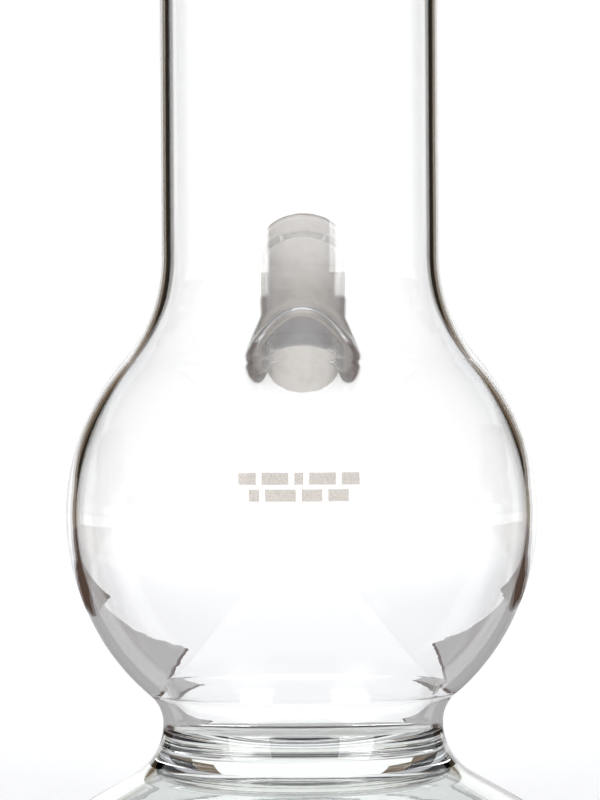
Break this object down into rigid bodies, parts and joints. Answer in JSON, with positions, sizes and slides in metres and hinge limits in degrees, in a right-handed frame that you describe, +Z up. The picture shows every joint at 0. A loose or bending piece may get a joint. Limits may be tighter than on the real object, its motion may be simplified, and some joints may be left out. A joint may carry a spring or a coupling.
{
  "type": "bulb-bodied glass vessel with slanted ground socket",
  "caption": "Clear glass vessel: straight wide neck, blown bulb, dished sealed floor, flared hollow foot and a slanted ground-cone side socket.",
  "frame": {"origin": "on the vessel's axis, in the plane of the bench under the foot rim", "axes": "+Z up along the vessel's axis to the mouth; +Y to the back, where the slanted socket is; +X to the right"},
  "size_m": [0.11, 0.1356, 0.35],
  "materials": {
    "clear_glass": "clear, fire-polished",
    "floor_glass": "clear, thick, faint swirl marks",
    "foot_glass": "clear with a faint green edge",
    "ground_glass": "ground, frosted",
    "frost": "etched, frosted"
  },
  "bodies": {
    "root": {"mouth_ring": "clear_glass", "neck_tube": "clear_glass", "bulb": "clear_glass", "waist_ring": "clear_glass", "chamber_floor": "floor_glass", "foot_flare": "foot_glass", "foot_skirt": "foot_glass", "foot_rim": "foot_glass", "branch_root": "clear_glass", "branch_tube": "clear_glass", "ground_socket": "ground_glass", "socket_collar": "clear_glass", "etched_mark": "frost"}
  },
  "joints": []
}
